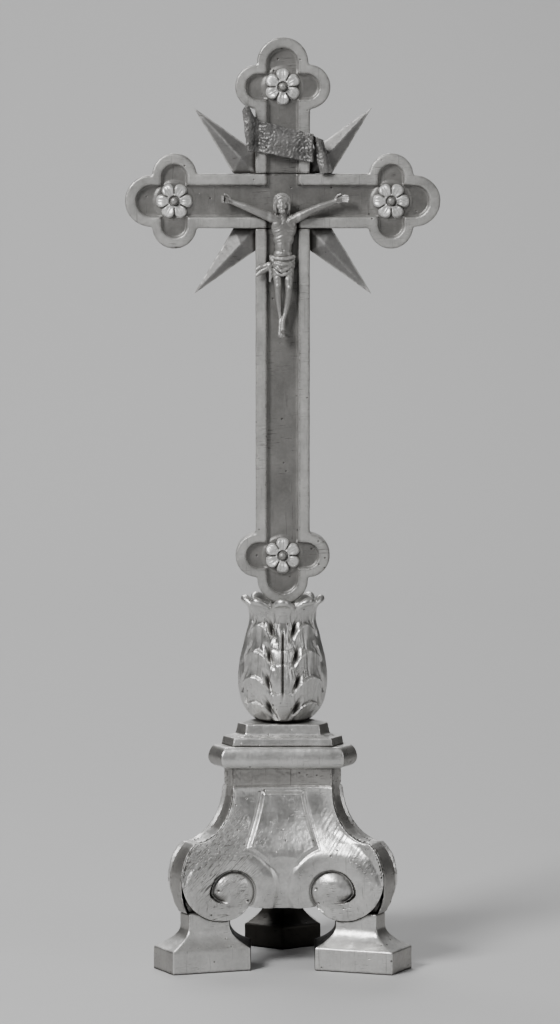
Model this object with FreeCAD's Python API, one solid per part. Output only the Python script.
"""Altar cross of carved, silver-leafed wood: a budded cross with rosettes, rays, a title scroll and a corpus.

It plugs into a leaf-carved knop on a three-footed scrolled stand.
Frame: +Z up, and the front faces -Y. The origin is where the stem's axis meets the plane the feet rest on.
All sizes are in millimetres. Each sub-part is written to parts/NODE.step.
"""

import FreeCAD
import Part
import math
import os

from FreeCAD import Vector

# ---------------------------------------------------------------- driving dimensions
GLUE_GAP = 0.05          # clearance round a peg, a nail or a spigot that is glued or driven home
SLIDE_GAP = 0.25         # clearance round the tenon that lifts out

# feet, measured along a ray from the axis through the foot
FOOT_BLOCK_HEIGHT = 15.0
FOOT_REACH = 9.0         # how far a block stands out past the bulge
FOOT_LENGTH = 50.4
FOOT_OUTER_WIDTH = 27.2
FOOT_INNER_WIDTH = 51.0
FOOT_EDGE_ROUND = 0.9
NECK_SETBACK = 6.7       # how far the neck lies inside the bulge
NECK_LENGTH = 26.7
NECK_OUTER_WIDTH = 12.6
NECK_INNER_WIDTH = 25.0
NECK_FLARE_HEIGHT = 13.0
NECK_HEIGHT = 9.0

# corner posts, whose outer face is the narrow strip between two face boards
PEDESTAL_HEIGHT = 130.0
POST_TOP_RADIUS = 40.0
POST_TOP_WIDTH = 10.6
POST_BULGE_RADIUS = 80.0
SHOULDER_INSET = 11.0    # how much nearer the axis the shoulder is than the bulge
POST_BULGE_WIDTH = 18.0
POST_DEPTH = 13.0
FASCIA_HEIGHT = 13.0     # straight band under the cap, above the flare
SHOULDER_Z = 82.5
BULGE_Z = 57.0
BULGE_RISE = 30.0        # half the height of the ellipse that the bulge follows

# face boards and their carving
BOARD_THICKNESS = 9.0
BOARD_PROUD = 0.9        # how far the board's edge stands out past the post's strip
MITRE_GAP = 4.0          # width of the post's tongue between two boards
HOLLOW_AXIS = 196.0      # the faces are hollow round upright lines this far in front of the stem
VOLUTE_REACH = 31.73     # from the eye's centre to the board's edge beside the bulge
VOLUTE_Z = 51.8
VOLUTE_GROWTH = 0.285    # of the scroll's radius, per radian
VOLUTE_EYE_RADIUS = 14.6
VOLUTE_GROOVE = 2.0
VOLUTE_GROOVE_DEPTH = 2.4
APRON_SAG = 1.6
PANEL_RAISE = 1.3
PANEL_TOP_HALF_WIDTH = 13.4
PANEL_BOTTOM_HALF_WIDTH = 23.4
PANEL_TOP_DROP = 2.6     # below the fascia
PANEL_SIDE_DROP = 37.5

# cap mouldings: (distance of a face from the axis, width of the cut corner)
OVOLO_HEIGHT = 14.0
OVOLO_UNDERSIDE = (28.0, 13.5)
OVOLO_BELLY = (33.2, 18.0)
OVOLO_TOP = (29.2, 16.0)
PLATE_HEIGHT = 5.4
PLATE_BOTTOM = (27.4, 15.2)
PLATE_TOP = (26.6, 14.8)
CAP_TOP_HEIGHT = 8.1
CAP_TOP_FOOT = (24.2, 14.2)
CAP_TOP_WAIST = (21.4, 13.0)
CAP_TOP_EDGE = (20.3, 11.7)
COVE_HEIGHT = 2.2

# knop
KNOP_HEIGHT = 82.5
KNOP_BASE_RADIUS = 15.0
KNOP_BELLY_RADIUS = 28.4
KNOP_NECK_RADIUS = 21.3
KNOP_TIP_RADIUS = 26.2
KNOP_LEAVES = 8
LEAF_NOTCH_RADIUS = 5.2
LEAF_GROOVE_RADIUS = 1.6
CUP_DEPTH = 9.0
CUP_MOUTH_RADIUS = 21.5
CUP_FLOOR_RADIUS = 13.0
SPIGOT_RADIUS = 8.0
SPIGOT_BELOW_CAP = 14.0
WEDGE_LENGTH = 24.0
WEDGE_WIDTH = 5.0
WEDGE_HEIGHT = 6.0

# cross
BEAM_WIDTH = 35.0
BEAM_THICKNESS = 18.0
RIM_WIDTH = 7.3
FIELD_DEPTH = 3.0
UPPER_ARM = 73.0         # crossing to the trefoil's centre
SIDE_ARM = 69.7
LOWER_ARM = 229.0
END_LOBE_RADIUS = 16.5
END_LOBE_OFFSET = 15.2
SIDE_LOBE_RADIUS = 14.2
SIDE_LOBE_OFFSET = 16.4
SIDE_CHANNEL_WIDTH = 16.8
LOBE_RIM = 6.9
RIM_EDGE_ROUND = 0.8
LOBE_DIP = 5.5           # how far the lowest lobe sinks into the knop's cup
TENON_WIDTH = 16.0
TENON_THICKNESS = 10.0
TENON_LENGTH = 44.0      # engaged in the knop, and the height that the cross lifts to come free

# rosettes
ROSETTE_RADIUS = 11.4
ROSETTE_PETALS = 6
PETAL_RADIUS = 3.5
ROSETTE_THICKNESS = 3.4
BOSS_RADIUS = 12.4
BOSS_HEIGHT = 0.9
BUTTON_RADIUS = 2.6
NAIL_RADIUS = 0.75
ROSETTE_NAIL_LENGTH = 9.0

# rays
RAY_TIP_X = 57.8
RAY_TIP_Z = 60.4
RAY_SEAT = 14.3          # length of the ray's base along each beam, from their corner
RAY_RIDGE = 5.0
RAY_BACK = 3.0
RAY_EDGE = 1.2           # thickness of the ray's edge
RAY_HIP = 0.24           # where the ridge ends, as a share of the way from the corner to the tip
RAY_PEG_RADIUS = 2.2
RAY_PEG_LENGTH = 8.0

# title scroll
SCROLL_HEIGHT = 20.0
SCROLL_WIDTH = 49.0
SCROLL_THICKNESS = 1.2
SCROLL_WAVE = 1.8        # half the ribbon's swing in and out
SCROLL_PERIOD = 28.0     # from crest to crest: the two back crests meet the rims
SCROLL_TILT = 12.9       # degrees, down to the right
SCROLL_RISE = 38.5       # centre above the crossing
SCROLL_NAIL_HEAD = 1.5

# corpus, with heights measured down from the crossing's centre
CORPUS_HEAD_RISE = 0.5
CORPUS_HEAD_RADIUS = 4.4
CORPUS_CHEST_DROP = 17.0
CORPUS_WAIST_DROP = 31.0
CORPUS_HIP_DROP = 42.0
CORPUS_KNEE_DROP = 58.0
CORPUS_FOOT_DROP = 84.0
CORPUS_CHEST_WIDTH = 15.5
CORPUS_WAIST_WIDTH = 11.6
CORPUS_HIP_WIDTH = 16.0
CORPUS_DEPTH = 8.6
ARM_REACH = 38.5
ARM_RISE = 1.0           # palms above the crossing's centre
ARM_RADIUS = 2.3
CORPUS_NAIL_HEAD = 1.3

# ---------------------------------------------------------------- worked-out places
ROOT3 = math.sqrt(3.0)
POST_SHOULDER_RADIUS = POST_BULGE_RADIUS - SHOULDER_INSET
FOOT_OUTER_RADIUS = POST_BULGE_RADIUS + FOOT_REACH
FOOT_INNER_RADIUS = FOOT_OUTER_RADIUS - FOOT_LENGTH
NECK_OUTER_RADIUS = POST_BULGE_RADIUS - NECK_SETBACK
NECK_INNER_RADIUS = NECK_OUTER_RADIUS - NECK_LENGTH
VOLUTE_X = ROOT3 / 2 * POST_BULGE_RADIUS - POST_BULGE_WIDTH / 4 - GLUE_GAP - VOLUTE_REACH
NECK_TOP_Z = FOOT_BLOCK_HEIGHT + NECK_FLARE_HEIGHT + NECK_HEIGHT
LEDGE_Z = PEDESTAL_HEIGHT - FASCIA_HEIGHT
BOARD_FOOT_Z = BULGE_Z - 0.93 * BULGE_RISE
OVOLO_Z = PEDESTAL_HEIGHT
PLATE_Z = OVOLO_Z + OVOLO_HEIGHT
CAP_TOP_Z = PLATE_Z + PLATE_HEIGHT
KNOP_Z = CAP_TOP_Z + CAP_TOP_HEIGHT
KNOP_TOP_Z = KNOP_Z + KNOP_HEIGHT
CUP_FLOOR_Z = KNOP_TOP_Z - CUP_DEPTH
TENON_END_Z = CUP_FLOOR_Z - TENON_LENGTH
TREFOIL_REACH = END_LOBE_OFFSET + END_LOBE_RADIUS
LOWER_TREFOIL_Z = KNOP_TOP_Z - LOBE_DIP + TREFOIL_REACH
CROSSING_Z = LOWER_TREFOIL_Z + LOWER_ARM
UPPER_TREFOIL_Z = CROSSING_Z + UPPER_ARM
FRONT_Y = -BEAM_THICKNESS / 2
BACK_Y = BEAM_THICKNESS / 2
FIELD_Y = FRONT_Y + FIELD_DEPTH
HALF_WIDTH = BEAM_WIDTH / 2
CHANNEL_HALF = HALF_WIDTH - RIM_WIDTH
CORPUS_Y = FIELD_Y - CORPUS_DEPTH / 2
SCROLL_Y = FRONT_Y - SCROLL_WAVE - SCROLL_THICKNESS / 2
WEDGE_TOP_Z = OVOLO_Z


# ---------------------------------------------------------------- helpers
def polygon(points):
    """A flat face bounded by straight edges through the points."""
    return Part.Face(Part.makePolygon([Vector(*p) for p in points] + [Vector(*points[0])]))


def turned(shape, degrees):
    """A copy turned about the stem's axis."""
    copy = shape.copy()
    copy.rotate(Vector(0, 0, 0), Vector(0, 0, 1), degrees)
    return copy


def box_between(low, high):
    size = Vector(*high) - Vector(*low)
    return Part.makeBox(size.x, size.y, size.z, Vector(*low))


def disc_prism(radius, x, z, y_low, y_high):
    """A round bar along Y."""
    return Part.makeCylinder(radius, y_high - y_low, Vector(x, y_low, z), Vector(0, 1, 0))


def cut_corner_triangle(face_distance, corner_width, z):
    """A horizontal equilateral triangle with cut corners: its first side faces the front."""
    half_side = ROOT3 * face_distance - corner_width
    points = []
    for turn in (0, 120, 240):
        c, s = math.cos(math.radians(turn)), math.sin(math.radians(turn))
        for x in (-half_side, half_side):
            points.append(Vector(x * c + face_distance * s, x * s - face_distance * c, z))
    return Part.makePolygon(points + [points[0]])


def one_solid(shape):
    """The single clean solid of a boolean's result."""
    return shape.removeSplitter().Solids[0]


# ---------------------------------------------------------------- pedestal
def post_width(z):
    """Width of a post's outer face at height z: widest at the bulge."""
    if z < BULGE_Z:
        return between((POST_BULGE_WIDTH,), (NECK_OUTER_WIDTH,), (BULGE_Z - z) / (BULGE_Z - NECK_TOP_Z))[0]
    share = min(1.0, (LEDGE_Z - z) / (LEDGE_Z - BULGE_Z)) if z < LEDGE_Z else 0
    return POST_TOP_WIDTH + (POST_BULGE_WIDTH - POST_TOP_WIDTH) * share


def post_radius(z):
    """Distance of a post's outer face from the axis: straight band, hollow flare, then the scroll's bulge."""
    if z >= LEDGE_Z:
        return POST_TOP_RADIUS
    if z >= SHOULDER_Z:
        drop = (LEDGE_Z - z) / (LEDGE_Z - SHOULDER_Z)
        reach = POST_SHOULDER_RADIUS - POST_TOP_RADIUS
        return POST_SHOULDER_RADIUS - reach * math.sqrt(1 - drop**2)
    shoulder_share = math.sqrt(1 - ((SHOULDER_Z - BULGE_Z) / BULGE_RISE) ** 2)
    swell = (POST_BULGE_RADIUS - POST_SHOULDER_RADIUS) / (1 - shoulder_share)
    return POST_BULGE_RADIUS - swell * (1 - math.sqrt(1 - ((z - BULGE_Z) / BULGE_RISE) ** 2))


def face_edge(z):
    """The front board's right-hand corner at height z: x, and how far forward."""
    r = post_radius(z)
    x = ROOT3 / 2 * r - post_width(z) / 4 - GLUE_GAP
    return x, 2 * (r + BOARD_PROUD) - ROOT3 * x


def flare_heights():
    """Heights from the fascia's lower edge down to the shoulder, closer together near the shoulder."""
    return [LEDGE_Z - (LEDGE_Z - SHOULDER_Z) * math.sin(math.radians(a)) for a in range(0, 91, 10)]


def bulge_heights(low, steps):
    """Even heights from the shoulder down."""
    return [SHOULDER_Z + (low - SHOULDER_Z) * step / steps for step in range(steps + 1)]


def face_profile(offset):
    """The front surface's distance from its hollowing axis, as three curves from the top down."""
    flare, bulge = flare_heights(), bulge_heights(BOARD_FOOT_Z, 8)

    def place(z):
        x, forward = face_edge(z)
        return Vector(math.hypot(x, HOLLOW_AXIS - forward) + offset, 0, z)

    band = Part.makeLine(place(PEDESTAL_HEIGHT), place(LEDGE_Z))
    return [band, spline([place(z) for z in flare]), spline([place(z) for z in bulge])]


def face_slab(front, back):
    """The space between two copies of the face surface, as offsets from the board's front."""
    near, far = face_profile(front), face_profile(back)
    low = Part.makeLine(near[-1].lastVertex(True).Point, far[-1].lastVertex(True).Point)
    top = Part.makeLine(near[0].firstVertex(True).Point, far[0].firstVertex(True).Point)
    profile = Part.Face(Part.Wire(Part.__sortEdges__([*near, low, *far, top])))
    slab = profile.revolve(Vector(0, 0, 0), Vector(0, 0, 1), 60)
    slab.rotate(Vector(0, 0, 0), Vector(0, 0, 1), 60)
    slab.translate(Vector(0, -HOLLOW_AXIS, 0))
    return slab


def board_outline():
    """The board's outline seen from the front: straight top, hollow flare, volutes and apron."""
    x_top = face_edge(LEDGE_Z)[0]
    flare = [Vector(face_edge(z)[0], 0, z) for z in flare_heights()]
    scroll = [Vector(face_edge(z)[0], 0, z) for z in bulge_heights(BULGE_Z, 5)]
    start = math.atan2(BULGE_Z - VOLUTE_Z, scroll[-1].x - VOLUTE_X)
    start_radius = math.hypot(BULGE_Z - VOLUTE_Z, scroll[-1].x - VOLUTE_X)
    end = math.radians(-135)
    for step in range(1, 12):
        a = start + (end - start) * step / 11
        radius = start_radius * math.exp(VOLUTE_GROWTH * (a - start))
        scroll.append(Vector(VOLUTE_X + radius * math.cos(a), 0, VOLUTE_Z + radius * math.sin(a)))
    right = [spline(flare), spline(scroll)]
    left = [mirrored_spline(scroll), mirrored_spline(flare)]
    inner = scroll[-1]
    apron = Part.Arc(inner, Vector(0, 0, inner.z - APRON_SAG), Vector(-inner.x, 0, inner.z)).toShape()
    top_right, top_left = Vector(x_top, 0, PEDESTAL_HEIGHT), Vector(-x_top, 0, PEDESTAL_HEIGHT)
    top = Part.makeLine(top_left, top_right)
    right_side = Part.makeLine(top_right, flare[0])
    left_side = Part.makeLine(Vector(-x_top, 0, LEDGE_Z), top_left)
    return Part.Face(Part.Wire([top, right_side, *right, apron, *left, left_side]))


def spline(points):
    curve = Part.BSplineCurve()
    curve.interpolate(points)
    return curve.toShape()


def mirrored_spline(points):
    return spline([Vector(-p.x, p.y, p.z) for p in reversed(points)])


def through(face):
    """A face in the XZ plane made into a bar along Y, from well in front to the axis."""
    reach = 2 * POST_BULGE_RADIUS
    bar = face.extrude(Vector(0, reach, 0))
    bar.translate(Vector(0, -reach, 0))
    return bar


def panel_outline():
    """The raised panel between the flare's edges, closed below by arcs round the two volutes."""
    top = LEDGE_Z - PANEL_TOP_DROP
    side = LEDGE_Z - PANEL_SIDE_DROP
    ring = math.hypot(PANEL_BOTTOM_HALF_WIDTH - VOLUTE_X, side - VOLUTE_Z)
    foot_x = VOLUTE_X - ring * math.cos(math.radians(38))
    foot_z = VOLUTE_Z + ring * math.sin(math.radians(38))
    mid = math.radians(180 - 55)
    mid_x, mid_z = VOLUTE_X + ring * math.cos(mid), VOLUTE_Z + ring * math.sin(mid)
    edges = [Part.makeLine(Vector(-PANEL_TOP_HALF_WIDTH, 0, top), Vector(PANEL_TOP_HALF_WIDTH, 0, top))]
    corner = Vector(PANEL_BOTTOM_HALF_WIDTH, 0, side)
    bend = Vector(PANEL_TOP_HALF_WIDTH + 2.6, 0, (top + side) / 2)
    edges.append(Part.Arc(Vector(PANEL_TOP_HALF_WIDTH, 0, top), bend, corner).toShape())
    edges.append(Part.Arc(corner, Vector(mid_x, 0, mid_z), Vector(foot_x, 0, foot_z)).toShape())
    edges.append(Part.makeLine(Vector(foot_x, 0, foot_z), Vector(-foot_x, 0, foot_z)))
    corner_left = Vector(-corner.x, 0, corner.z)
    edges.append(Part.Arc(Vector(-foot_x, 0, foot_z), Vector(-mid_x, 0, mid_z), corner_left).toShape())
    bend_left = Vector(-bend.x, 0, bend.z)
    edges.append(Part.Arc(corner_left, bend_left, Vector(-PANEL_TOP_HALF_WIDTH, 0, top)).toShape())
    return Part.Face(Part.Wire(edges))


def face_board():
    """A carved board with a raised panel, and a groove round each volute's eye."""
    board = through(board_outline()).common(face_slab(0, BOARD_THICKNESS))
    board = board.fuse(through(panel_outline()).common(face_slab(-PANEL_RAISE, PANEL_RAISE)))
    groove_slab = face_slab(-PANEL_RAISE, VOLUTE_GROOVE_DEPTH)
    for x in (-VOLUTE_X, VOLUTE_X):
        ring = disc_prism(VOLUTE_EYE_RADIUS, x, VOLUTE_Z, -2 * POST_BULGE_RADIUS, 0)
        ring = ring.cut(disc_prism(VOLUTE_EYE_RADIUS - VOLUTE_GROOVE, x, VOLUTE_Z, -2 * POST_BULGE_RADIUS, 0))
        board = board.cut(ring.common(groove_slab))
    for side in (-1, 1):
        board = board.cut(beyond_mitre(side))
    return one_solid(board)


def beyond_mitre(side):
    """Everything past the plane where a board stops, short of the post's tongue."""
    reach = 2 * POST_BULGE_RADIUS
    low = (0, -MITRE_GAP / 2, 0) if side > 0 else (-reach, -MITRE_GAP / 2, 0)
    high = (reach, reach, PEDESTAL_HEIGHT + 1) if side > 0 else (0, reach, PEDESTAL_HEIGHT + 1)
    return turned(box_between(low, high), -30 * side)


def corner_post():
    """The rear post: a strip between two boards' edges, on a tongue between their mitres."""
    tongue = MITRE_GAP / 2

    def section(z):
        half, outer = post_width(z) / 2, post_radius(z)
        heel, inner = outer - (half - tongue) / ROOT3, outer - POST_DEPTH
        right = [(half, outer), (tongue, heel), (tongue, inner)]
        corners = right + [(-x, y) for x, y in reversed(right)]
        return Part.makePolygon([Vector(x, y, z) for x, y in corners] + [Vector(*corners[0], z)])

    tail = [BULGE_Z + (NECK_TOP_Z - BULGE_Z) * step / 5 for step in range(1, 6)]
    heights = [PEDESTAL_HEIGHT, *flare_heights(), *bulge_heights(BULGE_Z, 8)[1:], *tail]
    return one_solid(Part.makeLoft([section(z) for z in heights], True, True))


def foot_section(share, z):
    """The foot's outline at height z: share 1 is the block, 0 the neck. The inner end is a blunt wedge."""
    outer = NECK_OUTER_RADIUS + (FOOT_OUTER_RADIUS - NECK_OUTER_RADIUS) * share
    inner = NECK_INNER_RADIUS + (FOOT_INNER_RADIUS - NECK_INNER_RADIUS) * share
    outer_half = (NECK_OUTER_WIDTH + (FOOT_OUTER_WIDTH - NECK_OUTER_WIDTH) * share) / 2
    inner_half = (NECK_INNER_WIDTH + (FOOT_INNER_WIDTH - NECK_INNER_WIDTH) * share) / 2
    nose = inner - inner_half / ROOT3
    points = [(-outer_half, outer), (-inner_half, inner), (0, nose), (inner_half, inner), (outer_half, outer)]
    return Part.makePolygon([Vector(x, y, z) for x, y in points] + [Vector(*points[0], z)])


def foot(boards):
    """A block with a hollow flare up to a neck, which runs behind the volutes and carries the post."""
    block = Part.Face(foot_section(1, 0)).extrude(Vector(0, 0, FOOT_BLOCK_HEIGHT))
    upright_edges = [e for e in block.Edges if e.BoundBox.ZLength > FOOT_BLOCK_HEIGHT / 2]
    block = block.makeFillet(FOOT_EDGE_ROUND, upright_edges)
    sections = []
    for step in range(7):
        rise = step / 6
        inset = (1 - rise) ** 2 * 0.985
        sections.append(foot_section(inset, FOOT_BLOCK_HEIGHT + NECK_FLARE_HEIGHT * rise))
    flare = Part.makeLoft(sections, True, False)
    neck_base_z = FOOT_BLOCK_HEIGHT + NECK_FLARE_HEIGHT
    neck = Part.Face(foot_section(0, neck_base_z)).extrude(Vector(0, 0, NECK_HEIGHT))
    whole = block.fuse([flare, neck])
    for board in boards:
        whole = whole.cut(board)
    return max(whole.removeSplitter().Solids, key=lambda solid: solid.Volume)


def stacked_loft(levels, ruled=False):
    """A solid through cut-corner triangles, given as (height, (face distance, corner width))."""
    return Part.makeLoft([cut_corner_triangle(*size, z) for z, size in levels], True, ruled)


def between(a, b, share):
    return tuple(p + (q - p) * share for p, q in zip(a, b))


def cap_ovolo():
    """The lowest moulding: a fat quarter-and-a-half round that overhangs the boards."""
    quarter = [0, 0.3, 0.55, 0.8, 1.0]
    lower = OVOLO_HEIGHT * 0.42
    levels = [(OVOLO_Z, OVOLO_UNDERSIDE)]
    for share in quarter[1:]:
        swell = math.sqrt(1 - (1 - share) ** 2)
        levels.append((OVOLO_Z + lower * share, between(OVOLO_UNDERSIDE, OVOLO_BELLY, swell)))
    for share in quarter[1:]:
        swell = math.sqrt(max(0.0, 1 - (share * 0.94) ** 2))
        height = OVOLO_Z + lower + (OVOLO_HEIGHT - lower) * share
        levels.append((height, between(OVOLO_TOP, OVOLO_BELLY, swell)))
    return stacked_loft(levels).cut(spigot_hole())


def cap_plate():
    """The middle moulding: a plain fillet."""
    levels = [(PLATE_Z, PLATE_BOTTOM), (PLATE_Z + PLATE_HEIGHT, PLATE_TOP)]
    return stacked_loft(levels, True).cut(spigot_hole())


def cap_top():
    """The top moulding: a small cove below a leaning fascia."""
    cove_top = CAP_TOP_Z + COVE_HEIGHT
    cove = [(CAP_TOP_Z, CAP_TOP_FOOT)]
    for share in (0.35, 0.7, 1.0):
        hollow = (1 - share) ** 2
        cove.append((CAP_TOP_Z + COVE_HEIGHT * share, between(CAP_TOP_WAIST, CAP_TOP_FOOT, hollow)))
    fascia = [(cove_top, CAP_TOP_WAIST), (CAP_TOP_Z + CAP_TOP_HEIGHT, CAP_TOP_EDGE)]
    return one_solid(stacked_loft(cove).fuse(stacked_loft(fascia, True)).cut(spigot_hole()))


def spigot_hole():
    """The bore through the cap that the knop's spigot is glued into."""
    low, high = OVOLO_Z - 1, KNOP_Z + 1
    return Part.makeCylinder(SPIGOT_RADIUS + GLUE_GAP, high - low, Vector(0, 0, low))


def knop_wedge():
    """The hardwood key driven through the spigot, which draws the knop and cap down."""
    low = WEDGE_TOP_Z - WEDGE_HEIGHT
    half, taper = WEDGE_LENGTH / 2, WEDGE_HEIGHT / 6
    side = polygon([(-half, 0, low + taper), (half, 0, low), (half, 0, WEDGE_TOP_Z), (-half, 0, WEDGE_TOP_Z)])
    key = side.extrude(Vector(0, WEDGE_WIDTH, 0))
    key.translate(Vector(0, -WEDGE_WIDTH / 2, 0))
    return key


# ---------------------------------------------------------------- knop
def knop():
    """A vase of upright leaves with curling tips: a cup and a socket on top, and a spigot below."""
    outline = [
        (KNOP_BASE_RADIUS, 0.0), (0.78 * KNOP_BELLY_RADIUS, 0.07), (0.94 * KNOP_BELLY_RADIUS, 0.18),
        (KNOP_BELLY_RADIUS, 0.335), (0.955 * KNOP_BELLY_RADIUS, 0.48), (0.85 * KNOP_BELLY_RADIUS, 0.64),
        (KNOP_NECK_RADIUS, 0.81), (KNOP_NECK_RADIUS * 1.03, 0.9), (KNOP_TIP_RADIUS, 1.0),
    ]
    curve = spline([Vector(r, 0, KNOP_Z + KNOP_HEIGHT * share) for r, share in outline])
    rim = Vector(KNOP_TIP_RADIUS, 0, KNOP_TOP_Z)
    cup_rim = Vector(CUP_MOUTH_RADIUS, 0, KNOP_TOP_Z)
    cup_floor = Vector(CUP_FLOOR_RADIUS, 0, CUP_FLOOR_Z)
    low = OVOLO_Z - SPIGOT_BELOW_CAP
    corners = [
        rim, cup_rim, cup_floor, Vector(0, 0, CUP_FLOOR_Z), Vector(0, 0, low), Vector(SPIGOT_RADIUS, 0, low),
        Vector(SPIGOT_RADIUS, 0, KNOP_Z), Vector(KNOP_BASE_RADIUS, 0, KNOP_Z),
    ]
    edges = [Part.makeLine(a, b) for a, b in zip(corners, corners[1:])]
    body = Part.Face(Part.Wire([curve, *edges])).revolve(Vector(0, 0, 0), Vector(0, 0, 1), 360)
    cutters = [box_between(
        (-TENON_WIDTH / 2 - SLIDE_GAP, -TENON_THICKNESS / 2 - SLIDE_GAP, TENON_END_Z),
        (TENON_WIDTH / 2 + SLIDE_GAP, TENON_THICKNESS / 2 + SLIDE_GAP, CUP_FLOOR_Z + 1),
    )]
    cutters.append(box_between(
        (-2 * SPIGOT_RADIUS, -WEDGE_WIDTH / 2 - GLUE_GAP, WEDGE_TOP_Z - WEDGE_HEIGHT - GLUE_GAP),
        (2 * SPIGOT_RADIUS, WEDGE_WIDTH / 2 + GLUE_GAP, WEDGE_TOP_Z + 1),
    ))
    for step in range(KNOP_LEAVES):
        turn = 360 / KNOP_LEAVES * (step + 0.5)
        axis = Vector(0, -1, 0)
        notch_foot = Vector(0, 0, KNOP_TOP_Z + 0.6)
        notch = Part.makeCylinder(LEAF_NOTCH_RADIUS, 3 * KNOP_TIP_RADIUS, notch_foot, axis)
        cutters.append(turned(notch, turn))
        lean = KNOP_BELLY_RADIUS - KNOP_NECK_RADIUS
        groove_foot = Vector(0, -KNOP_BELLY_RADIUS - 0.4 * LEAF_GROOVE_RADIUS, KNOP_Z + 0.3 * KNOP_HEIGHT)
        groove_line = Vector(0, lean / 2, KNOP_HEIGHT / 2)
        groove = Part.makeCylinder(LEAF_GROOVE_RADIUS, KNOP_HEIGHT, groove_foot, groove_line)
        cutters.append(turned(groove, turn))
    return one_solid(body.cut(cutters))


# ---------------------------------------------------------------- cross
def trefoil_end(x, z, toward, y_low, y_high):
    """Three lobes round (x, z). toward is the unit direction of the end lobe, as (x, z)."""
    ex, ez = toward
    end_x, end_z = x + ex * END_LOBE_OFFSET, z + ez * END_LOBE_OFFSET
    lobes = [disc_prism(END_LOBE_RADIUS, end_x, end_z, y_low, y_high)]
    for side in (-1, 1):
        sx, sz = side * ez, side * ex
        lobe_x, lobe_z = x + sx * SIDE_LOBE_OFFSET, z + sz * SIDE_LOBE_OFFSET
        lobes.append(disc_prism(SIDE_LOBE_RADIUS, lobe_x, lobe_z, y_low, y_high))
        lobes.append(bar_along((x, z), (lobe_x, lobe_z), SIDE_LOBE_RADIUS, y_low, y_high))
    lobes.append(bar_along((x, z), (end_x, end_z), END_LOBE_RADIUS, y_low, y_high))
    return lobes


def bar_along(start, end, half_width, y_low, y_high):
    """An upright or level flat bar between two points of the XZ plane."""
    (x0, z0), (x1, z1) = start, end
    across_x = half_width if abs(x1 - x0) < abs(z1 - z0) else 0
    across_z = half_width - across_x
    low = (min(x0, x1) - across_x, y_low, min(z0, z1) - across_z)
    high = (max(x0, x1) + across_x, y_high, max(z0, z1) + across_z)
    return box_between(low, high)


TREFOILS = [
    (0, UPPER_TREFOIL_Z, (0, 1)),
    (0, LOWER_TREFOIL_Z, (0, -1)),
    (-SIDE_ARM, CROSSING_Z, (-1, 0)),
    (SIDE_ARM, CROSSING_Z, (1, 0)),
]


def field_cutter():
    """What is sunk into the front: two long channels, and a round-ended one across each trefoil."""
    y_low, y_high = FRONT_Y - 5, FIELD_Y
    end_reach = TREFOIL_REACH - LOBE_RIM - CHANNEL_HALF
    side_half = SIDE_CHANNEL_WIDTH / 2
    side_reach = SIDE_LOBE_OFFSET + SIDE_LOBE_RADIUS - LOBE_RIM - side_half
    low_end, high_end = LOWER_TREFOIL_Z - end_reach, UPPER_TREFOIL_Z + end_reach
    side_end = SIDE_ARM + end_reach
    parts = [
        bar_along((0, low_end), (0, high_end), CHANNEL_HALF, y_low, y_high),
        bar_along((-side_end, CROSSING_Z), (side_end, CROSSING_Z), CHANNEL_HALF, y_low, y_high),
    ]
    for x, z, (ex, ez) in TREFOILS:
        parts.append(disc_prism(CHANNEL_HALF, x + ex * end_reach, z + ez * end_reach, y_low, y_high))
        sx, sz = ez * side_reach, ex * side_reach
        parts.append(bar_along((x - sx, z - sz), (x + sx, z + sz), side_half, y_low, y_high))
        for side in (-1, 1):
            parts.append(disc_prism(side_half, x + side * sx, z + side * sz, y_low, y_high))
    return parts[0].fuse(parts[1:])


def nail_holes(x, z):
    """The hole that a rosette's nail is driven into."""
    return disc_prism(NAIL_RADIUS + GLUE_GAP, x, z, FRONT_Y - 5, FRONT_Y + ROSETTE_NAIL_LENGTH)


def rounded_front(blank):
    """Eases every front edge of a beam's blank."""
    front = [e for e in blank.Edges if e.BoundBox.YMax < FRONT_Y + 1e-3]
    return blank.makeFillet(RIM_EDGE_ROUND, front)


def beam(bar, ends, halving):
    """A beam with its lobed ends, its half of the halving joint, its sunk field and the rosettes' bosses."""
    blank = bar
    for x, z, toward in ends:
        blank = blank.fuse(trefoil_end(x, z, toward, FRONT_Y, BACK_Y))
    blank = rounded_front(one_solid(blank))
    shape = blank.cut(halving).cut(field_cutter())
    for x, z, _ in ends:
        shape = shape.fuse(disc_prism(BOSS_RADIUS, x, z, FIELD_Y - BOSS_HEIGHT, FIELD_Y))
    for x, z, _ in ends:
        shape = shape.cut(nail_holes(x, z))
    return one_solid(shape.cut(ray_pegs(GLUE_GAP)).cut(front_nails(GLUE_GAP)))


def upright():
    """The tall beam. The crossbar is let into its front, and its tenon stands in the knop."""
    bar = bar_along((0, LOWER_TREFOIL_Z), (0, UPPER_TREFOIL_Z), HALF_WIDTH, FRONT_Y, BACK_Y)
    halving = box_between(
        (-2 * HALF_WIDTH, FRONT_Y - 5, CROSSING_Z - HALF_WIDTH), (2 * HALF_WIDTH, 0, CROSSING_Z + HALF_WIDTH)
    )
    shape = beam(bar, TREFOILS[:2], halving)
    tenon = box_between(
        (-TENON_WIDTH / 2, -TENON_THICKNESS / 2, TENON_END_Z),
        (TENON_WIDTH / 2, TENON_THICKNESS / 2, KNOP_TOP_Z + LOBE_DIP),
    )
    return one_solid(shape.fuse(tenon))


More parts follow.
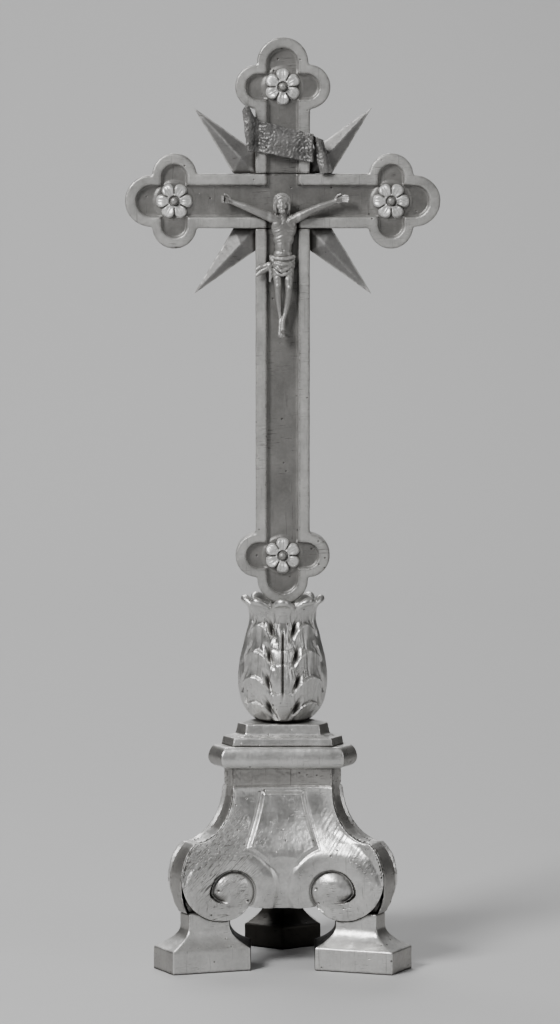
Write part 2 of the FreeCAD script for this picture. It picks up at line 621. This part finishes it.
def crossbar():
    """The level beam, whose back is let into the upright."""
    bar = bar_along((-SIDE_ARM, CROSSING_Z), (SIDE_ARM, CROSSING_Z), HALF_WIDTH, FRONT_Y, BACK_Y)
    halving = box_between(
        (-HALF_WIDTH, 0, CROSSING_Z - 2 * HALF_WIDTH), (HALF_WIDTH, BACK_Y + 5, CROSSING_Z + 2 * HALF_WIDTH)
    )
    return beam(bar, TREFOILS[2:], halving)


def rosette(x, z, turn):
    """Six cupped petals round a raised middle, with a hole for its nail."""
    back = FIELD_Y - BOSS_HEIGHT
    front = back - ROSETTE_THICKNESS
    middle = disc_prism(ROSETTE_RADIUS * 0.42, 0, 0, front + 0.4, back)
    petals = []
    ring = ROSETTE_RADIUS - PETAL_RADIUS
    for step in range(ROSETTE_PETALS):
        a = math.radians(turn + 360 / ROSETTE_PETALS * step)
        px, pz = ring * math.cos(a), ring * math.sin(a)
        petal = Part.makeCylinder(PETAL_RADIUS, ROSETTE_THICKNESS, Vector(px, front, pz), Vector(0, 1, 0))
        petal = petal.cut(Part.makeSphere(PETAL_RADIUS, Vector(px, front - PETAL_RADIUS * 0.72, pz)))
        petals.append(petal)
    flower = middle.fuse(petals)
    flower = flower.cut(disc_prism(NAIL_RADIUS + GLUE_GAP, 0, 0, front - 1, back + 1))
    flower.translate(Vector(x, 0, z))
    return one_solid(flower)


def rosette_nails():
    """Domed nails, one through the middle of each rosette."""
    nails = []
    back = FIELD_Y - BOSS_HEIGHT
    seat = back - ROSETTE_THICKNESS + 0.4
    for x, z, _ in TREFOILS:
        shank = disc_prism(NAIL_RADIUS, x, z, seat - 0.5, FRONT_Y + ROSETTE_NAIL_LENGTH - 0.5)
        dome = Part.makeSphere(BUTTON_RADIUS, Vector(x, seat, z))
        dome = dome.common(disc_prism(2 * BUTTON_RADIUS, x, z, seat - 2 * BUTTON_RADIUS, seat))
        nails.append(one_solid(dome.fuse(shank)))
    return Part.makeCompound(nails)


# ---------------------------------------------------------------- rays
def ray_peg(side, up, gap):
    """The peg at a ray's inner end, which is glued into the beams' corner."""
    direction = Vector(side, 0, up)
    corner = Vector(side * HALF_WIDTH, 0, CROSSING_Z + up * HALF_WIDTH)
    start = corner - direction.normalize() * RAY_PEG_LENGTH
    return Part.makeCylinder(RAY_PEG_RADIUS + gap, 2 * RAY_PEG_LENGTH, start, Vector(side, 0, up))


def ray_pegs(gap):
    pegs = [ray_peg(side, up, gap) for side in (-1, 1) for up in (-1, 1)]
    return pegs[0].fuse(pegs[1:])


def ray(side, up):
    """A tapering faceted ray: a ridge runs from the tip to a short hip at the beams' corner."""
    tip = (RAY_TIP_X, RAY_TIP_Z)
    corner = (HALF_WIDTH, HALF_WIDTH)
    along_bar = (HALF_WIDTH + RAY_SEAT, HALF_WIDTH)
    along_post = (HALF_WIDTH, HALF_WIDTH + RAY_SEAT)
    ridge = between(corner, tip, RAY_HIP)

    def place(point, y):
        return Vector(side * point[0], y, CROSSING_Z + up * point[1])

    rim = [tip, along_bar, corner, along_post]
    front = [place(p, -RAY_EDGE / 2) for p in rim]
    back = [place(p, RAY_EDGE / 2) for p in rim]
    apex, heel = place(ridge, -RAY_RIDGE), place(ridge, RAY_BACK)
    faces = []
    for i in range(4):
        j = (i + 1) % 4
        faces.append(polygon([front[i], front[j], apex]))
        faces.append(polygon([back[i], back[j], heel]))
        faces.append(polygon([front[i], front[j], back[j], back[i]]))
    solid = Part.makeSolid(Part.makeShell(faces))
    if solid.Volume < 0:
        solid.reverse()
    peg = ray_peg(side, up, 0).common(box_between(
        (-2 * HALF_WIDTH, -BEAM_THICKNESS, CROSSING_Z - 2 * HALF_WIDTH),
        (2 * HALF_WIDTH, BEAM_THICKNESS, CROSSING_Z + 2 * HALF_WIDTH),
    ))
    return one_solid(solid.fuse(peg))


# ---------------------------------------------------------------- title scroll
def scroll_wall(side):
    """One face of the ribbon seen from above. side is -1 for the front and 1 for the back."""
    points = []
    for step in range(13):
        x = SCROLL_WIDTH * (step / 12 - 0.5)
        phase = 2 * math.pi * x / SCROLL_PERIOD
        y = -SCROLL_WAVE * math.cos(phase)
        slope = SCROLL_WAVE * 2 * math.pi / SCROLL_PERIOD * math.sin(phase)
        out = side * SCROLL_THICKNESS / 2 / math.hypot(1, slope)
        points.append(Vector(x - out * slope, y + out, -SCROLL_HEIGHT / 2))
    return points


def title_scroll():
    """A chased metal ribbon that waves in and out, touching the rims at its crests, with two nail holes."""
    front, back = scroll_wall(-1), scroll_wall(1)
    ends = [Part.makeLine(front[-1], back[-1]), Part.makeLine(back[0], front[0])]
    ribbon = Part.Face(Part.Wire([spline(front), ends[0], spline(back[::-1]), ends[1]]))
    solid = ribbon.extrude(Vector(0, 0, SCROLL_HEIGHT))
    solid.rotate(Vector(0, 0, 0), Vector(0, 1, 0), SCROLL_TILT)
    solid.translate(Vector(0, SCROLL_Y, CROSSING_Z + SCROLL_RISE))
    return one_solid(solid.cut(front_nails(GLUE_GAP)))


def scroll_nail_places():
    """Where the scroll's back crests rest on the rims, as (x, z)."""
    tilt = math.radians(SCROLL_TILT)
    along = SCROLL_PERIOD / 2
    centre_z = CROSSING_Z + SCROLL_RISE
    return [(side * along * math.cos(tilt), centre_z - side * along * math.sin(tilt)) for side in (-1, 1)]


def scroll_nails(gap=0.0):
    """Two nails that hold the scroll to the rim."""
    nails = []
    crest_rise = SCROLL_WAVE * (1 - math.cos(2 * math.pi * SCROLL_NAIL_HEAD / SCROLL_PERIOD))
    head_y = FRONT_Y - SCROLL_THICKNESS - crest_rise
    for x, z in scroll_nail_places():
        shank = disc_prism(NAIL_RADIUS + gap, x, z, head_y, FRONT_Y + 6 + gap)
        if gap == 0:
            shank = shank.fuse(disc_prism(SCROLL_NAIL_HEAD, x, z, head_y - 0.7, head_y))
        nails.append(one_solid(shank))
    return nails


def front_nails(gap):
    """Holes for the scroll's nails and for the corpus's three nails."""
    return Part.makeCompound(scroll_nails(gap) + corpus_nail_bars(gap))


# ---------------------------------------------------------------- corpus
def oval(x, y, z, half_x, half_y):
    ellipse = Part.Ellipse(Vector(x, y, z), max(half_x, half_y), min(half_x, half_y))
    edge = ellipse.toShape()
    if half_y > half_x:
        edge.rotate(Vector(x, y, z), Vector(0, 0, 1), 90)
    return Part.Wire(edge)


def tube(points):
    """A limb: a loft through circles square to its line, given as (x, y, z, radius)."""
    wires = []
    for i, (x, y, z, radius) in enumerate(points):
        before, after = points[max(0, i - 1)], points[min(len(points) - 1, i + 1)]
        direction = Vector(after[0] - before[0], after[1] - before[1], after[2] - before[2])
        wires.append(Part.Wire(Part.makeCircle(radius, Vector(x, y, z), direction)))
    return Part.makeLoft(wires, True, False)


def corpus_body():
    """Head, trunk, loincloth and legs, carved as one."""
    y, z = CORPUS_Y, CROSSING_Z
    depth = CORPUS_DEPTH / 2
    chest_z, waist_z, hip_z = z - CORPUS_CHEST_DROP, z - CORPUS_WAIST_DROP, z - CORPUS_HIP_DROP
    neck_z = z - CORPUS_HEAD_RADIUS * 1.6
    trunk = Part.makeLoft([
        oval(0, y, neck_z, 2.4, 2.4), oval(0, y, neck_z - 2.6, 4.6, 3.0),
        oval(0.3, y, chest_z + 3.6, CORPUS_CHEST_WIDTH / 2, depth * 0.96),
        oval(0.3, y, chest_z - 4, CORPUS_CHEST_WIDTH * 0.44, depth * 0.92),
        oval(0.2, y, waist_z, CORPUS_WAIST_WIDTH / 2, depth * 0.8),
        oval(0, y, hip_z + 3, CORPUS_HIP_WIDTH / 2, depth * 0.98),
        oval(0, y, hip_z - 3.5, CORPUS_HIP_WIDTH * 0.43, depth * 0.9),
    ], True, False)
    head = Part.makeSphere(CORPUS_HEAD_RADIUS, Vector(0, 0, 0))
    stretch = FreeCAD.Matrix()
    stretch.scale(1.0, 0.95, 1.32)
    head = head.transformGeometry(stretch)
    head.translate(Vector(0, y - 1.2, z + CORPUS_HEAD_RISE - 1.5))
    knee_z, foot_z = z - CORPUS_KNEE_DROP, z - CORPUS_FOOT_DROP
    shape = trunk.fuse(head)
    for side in (-1, 1):
        leg = tube([
            (side * 3.6, y, hip_z + 1, 3.3), (side * 3.3, y - 0.8, (hip_z + knee_z) / 2, 3.0),
            (side * 2.9 + 1.2, y - 1.9, knee_z, 2.4), (side * 2.2 + 0.8, y - 0.6, (knee_z + foot_z) / 2, 2.1),
            (side * 1.4, y + 0.6, foot_z + 4, 1.6),
        ])
        shape = shape.fuse(leg)
    feet = tube([
        (0, y + 0.6, foot_z + 6.5, 2.5), (0, y - 0.4, foot_z + 2, 2.5), (0, y - 0.9, foot_z - 3, 1.9),
    ])
    knot = tube([
        (-5.5, y, hip_z + 4, 3.0), (-8.5, y - 0.4, hip_z + 2.0, 2.4), (-12.0, y - 0.6, hip_z - 1.5, 2.2),
        (-15.0, y - 0.4, hip_z - 4.5, 1.2),
    ])
    shape = shape.fuse([feet, knot])
    low_z, high_z = foot_z - 10, z + 15
    shape = shape.cut(box_between((-ARM_REACH, FIELD_Y, low_z), (ARM_REACH, BACK_Y, high_z)))
    for side in (-1, 1):
        rim_from, rim_to = sorted((side * CHANNEL_HALF, side * ARM_REACH))
        shape = shape.cut(box_between((rim_from, FRONT_Y, low_z), (rim_to, BACK_Y, high_z)))
    for solid in corpus_nail_bars(GLUE_GAP):
        shape = shape.cut(solid)
    return max(shape.removeSplitter().Solids, key=lambda s: s.Volume)


def corpus_arm(side, body):
    """One outstretched arm with its hand, glued to the trunk at the shoulder."""
    y, z = CORPUS_Y, CROSSING_Z
    shoulder = z - CORPUS_CHEST_DROP + 6.0
    arm = tube([
        (-4.0, y - 1.0, shoulder - 1.5, ARM_RADIUS * 1.25), (-9.0, y - 1.8, shoulder, ARM_RADIUS * 1.15),
        (-17.0, y - 1.6, shoulder + 2.9, ARM_RADIUS * 0.92), (-25.0, y, shoulder + 7.0, ARM_RADIUS * 0.86),
        (-32.0, y, shoulder + 10.4, ARM_RADIUS * 0.6),
        (2 - ARM_REACH, y + 0.4, z + ARM_RISE - 0.4, ARM_RADIUS * 0.95),
        (-ARM_REACH, y + 0.4, z + ARM_RISE, ARM_RADIUS * 0.6),
    ])
    if side > 0:
        arm = arm.mirror(Vector(0, 0, 0), Vector(1, 0, 0))
    arm = arm.cut(body).cut(box_between((-50, FIELD_Y, z - 30), (50, BACK_Y, z + 30)))
    for bar in corpus_nail_bars(GLUE_GAP):
        arm = arm.cut(bar)
    return max(arm.removeSplitter().Solids, key=lambda s: s.Volume)


def corpus_nail_places():
    palm_z = CROSSING_Z + ARM_RISE - 0.4
    return [(-(ARM_REACH - 3), palm_z), (ARM_REACH - 3, palm_z), (0, CROSSING_Z - CORPUS_FOOT_DROP)]


def corpus_nail_bars(gap):
    """The nails' shanks, or their holes when gap is above zero."""
    head_y = CORPUS_Y - CORPUS_DEPTH / 2
    return [disc_prism(NAIL_RADIUS + gap, x, z, head_y, FIELD_Y + 6 + gap) for x, z in corpus_nail_places()]


def corpus_nails():
    """Three nails, through the palms and the crossed feet, each with a round head."""
    head_y = CORPUS_Y - CORPUS_DEPTH / 2
    nails = []
    for shank, (x, z) in zip(corpus_nail_bars(0), corpus_nail_places()):
        nails.append(one_solid(shank.fuse(disc_prism(CORPUS_NAIL_HEAD, x, z, head_y - 0.8, head_y + 0.2))))
    return Part.makeCompound(nails)


# ---------------------------------------------------------------- all nodes
def build():
    """Every sub-part by its node name."""
    front = face_board()
    boards = {"front": front, "rear_right": turned(front, 120), "rear_left": turned(front, 240)}
    nodes = {f"face_board_{name}": shape for name, shape in boards.items()}
    rear_post, rear_foot = corner_post(), foot(boards.values())
    for name, turn in (("rear", 0), ("front_left", 120), ("front_right", 240)):
        nodes[f"corner_post_{name}"] = turned(rear_post, turn)
        nodes[f"foot_{name}"] = turned(rear_foot, turn)
    nodes["cap_ovolo"] = cap_ovolo()
    nodes["cap_plate"] = cap_plate()
    nodes["cap_top"] = cap_top()
    nodes["knop"] = knop()
    nodes["knop_wedge"] = knop_wedge()
    nodes["upright"] = upright()
    nodes["crossbar"] = crossbar()
    for name, place, turn in zip(("top", "bottom", "left", "right"), TREFOILS, (30, 30, 0, 0)):
        nodes[f"rosette_{name}"] = rosette(place[0], place[1], turn)
    nodes["rosette_nails"] = rosette_nails()
    for side, side_name in ((-1, "left"), (1, "right")):
        for up, up_name in ((1, "upper"), (-1, "lower")):
            nodes[f"ray_{up_name}_{side_name}"] = ray(side, up)
    nodes["title_scroll"] = title_scroll()
    nodes["title_nails"] = Part.makeCompound(scroll_nails())
    body = corpus_body()
    nodes["corpus_body"] = body
    nodes["corpus_arm_left"] = corpus_arm(-1, body)
    nodes["corpus_arm_right"] = corpus_arm(1, body)
    nodes["corpus_nails"] = corpus_nails()
    return nodes


def main():
    os.makedirs("parts", exist_ok=True)
    for name, shape in build().items():
        assert shape.isValid(), f"{name} is not a valid shape"
        shape.exportStep(f"parts/{name}.step")
        print(name, len(shape.Solids), round(shape.Volume))


main()
